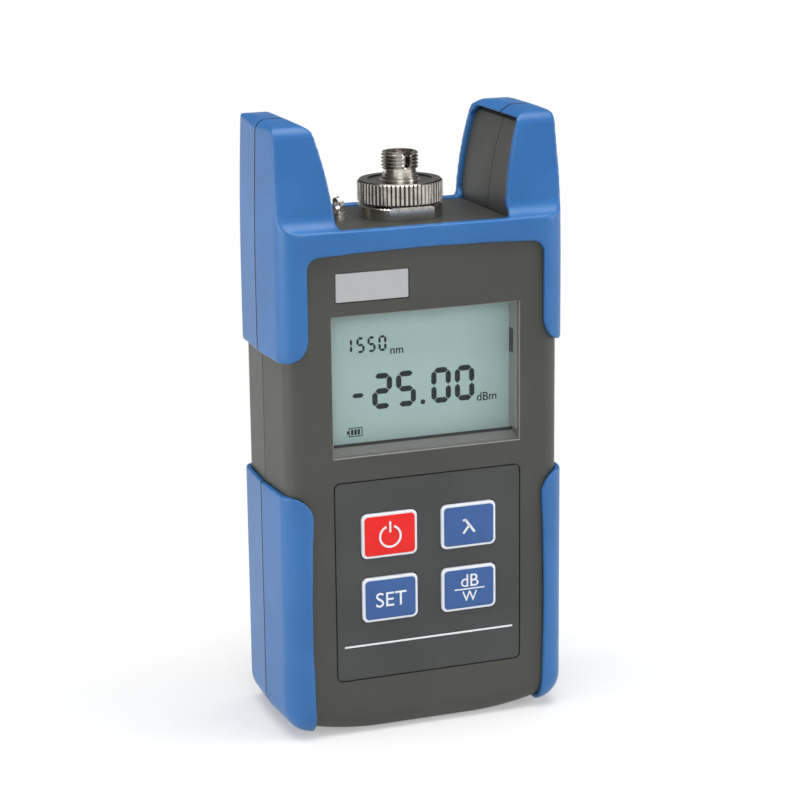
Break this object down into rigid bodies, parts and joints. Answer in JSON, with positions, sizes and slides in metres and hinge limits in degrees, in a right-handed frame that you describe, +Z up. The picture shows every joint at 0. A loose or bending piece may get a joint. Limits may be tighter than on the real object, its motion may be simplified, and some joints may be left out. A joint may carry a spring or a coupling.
{
  "type": "optical power meter",
  "caption": "Handheld optical power meter: grey two-part housing with blue bumpers and horns, knurled fibre connector, display and push keys.",
  "frame": {"origin": "centre of the bounding box at ground level, under the foot", "axes": "+Z up along the meter towards the connector, +Y from the front face to the back, +X to the right seen from the front"},
  "size_m": [0.0652, 0.0334, 0.1324],
  "materials": {
    "housing_plastic": "fine spark texture, warm grey",
    "panel_plastic": "matte, warm grey",
    "bumper_rubber": "satin soft touch, blue",
    "badge_metal": "satin silver, bare",
    "clear_lens": "clear, polished",
    "display_glass": "pale grey green",
    "inner_plastic": "moulded, pale grey",
    "light_guide": "milky",
    "contact_rubber": "striped elastomer",
    "overlay_film": "printed sheet, fine grain",
    "red_key": "satin red with white rim",
    "blue_key": "satin blue with white rim",
    "nickel": "nickel plated, turned",
    "circuit_board": "green solder mask",
    "chip_black": "moulded epoxy",
    "switch_black": "moulded",
    "steel": "bright zinc",
    "brass": "turned",
    "cell_sleeve": "plain dark sleeve"
  },
  "bodies": {
    "meter": {"backlight": "light_guide", "badge_plate": "badge_metal", "base_nut": "nickel", "base_washer": "nickel", "battery_cells": "cell_sleeve", "battery_contacts": "steel", "battery_springs": "steel", "board_chips": "chip_black", "board_screws": "steel", "case_screws": "steel", "connector_base": "nickel", "connector_panel": "panel_plastic", "contact_strip": "contact_rubber", "detector": "nickel", "detector_board": "circuit_board", "display_cell": "display_glass", "display_frame": "inner_plastic", "display_lens": "clear_lens", "front_cover": "housing_plastic", "front_left_bumper": "bumper_rubber", "front_right_bumper": "bumper_rubber", "front_upper_bumper": "bumper_rubber", "keypad_overlay": "overlay_film", "main_board": "circuit_board", "power_switch": "switch_black", "rear_cover": "housing_plastic", "rear_left_bumper": "bumper_rubber", "rear_right_bumper": "bumper_rubber", "rear_upper_bumper": "bumper_rubber", "reference_switch": "switch_black", "screw_inserts": "brass", "tether_eyelet": "nickel", "unit_switch": "switch_black", "wavelength_switch": "switch_black"},
    "power_key": {"power_key": "red_key"},
    "wavelength_key": {"wavelength_key": "blue_key"},
    "reference_key": {"reference_key": "blue_key"},
    "unit_key": {"unit_key": "blue_key"},
    "fibre_adapter": {"fibre_adapter": "nickel"},
    "coupling_ring": {"coupling_ring": "nickel"},
    "battery_door": {"battery_door": "housing_plastic"}
  },
  "joints": [
    {"name": "power_press", "type": "slide", "parent": "meter", "child": "power_key", "axis": [0, 1, 0], "range_m": [0, 0.0005], "stiffness_N_per_m": 400},
    {"name": "wavelength_press", "type": "slide", "parent": "meter", "child": "wavelength_key", "axis": [0, 1, 0], "range_m": [0, 0.0005], "stiffness_N_per_m": 400},
    {"name": "reference_press", "type": "slide", "parent": "meter", "child": "reference_key", "axis": [0, 1, 0], "range_m": [0, 0.0005], "stiffness_N_per_m": 400},
    {"name": "unit_press", "type": "slide", "parent": "meter", "child": "unit_key", "axis": [0, 1, 0], "range_m": [0, 0.0005], "stiffness_N_per_m": 400},
    {"name": "adapter_lift", "type": "slide", "parent": "meter", "child": "fibre_adapter", "axis": [0, 0, 1], "range_m": [0, 0.00225]},
    {"name": "ring_turn", "type": "hinge", "parent": "fibre_adapter", "child": "coupling_ring", "pos_m": [0, 0, 0.1157], "axis": [0, 0, 1], "range_deg": [0, 1080]},
    {"name": "door_swing", "type": "hinge", "parent": "meter", "child": "battery_door", "pos_m": [0, 0.0155, 0.0194], "axis": [-1, 0, 0], "range_deg": [0, 80]}
  ],
  "couplings": [
    {"joint": "adapter_lift", "follows": "ring_turn", "m_per_rad": 0.00011937}
  ]
}
